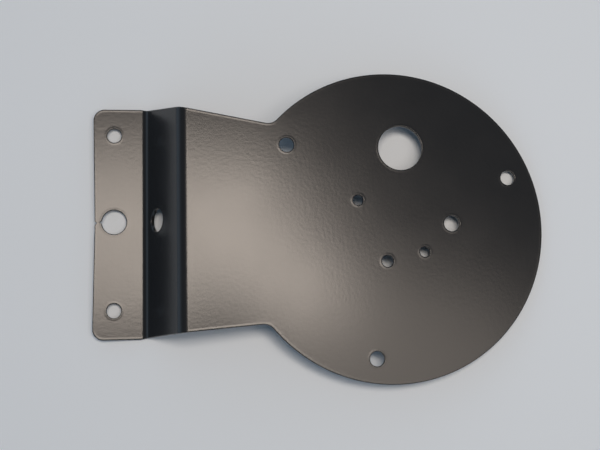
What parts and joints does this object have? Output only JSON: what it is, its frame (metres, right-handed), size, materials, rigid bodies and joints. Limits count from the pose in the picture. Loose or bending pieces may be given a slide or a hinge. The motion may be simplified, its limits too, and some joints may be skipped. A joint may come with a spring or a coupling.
{
  "type": "motor mounting bracket",
  "caption": "Black powder-coated sheet bracket: a round drilled plate on a tapering neck, folded down a sloping riser to a drilled foot flange.",
  "frame": {"origin": "centre of the round plate and of its rim bolt circle, on the plate's upper face", "axes": "+Z out of the plate's upper face, -X from the plate's centre to the foot flange, +Y along the flange"},
  "size_m": [0.2175, 0.15, 0.0299],
  "materials": {
    "black_coat": "satin black powder coat, fine orange peel"
  },
  "bodies": {
    "root": {"bracket_plate": "black_coat"}
  },
  "joints": []
}
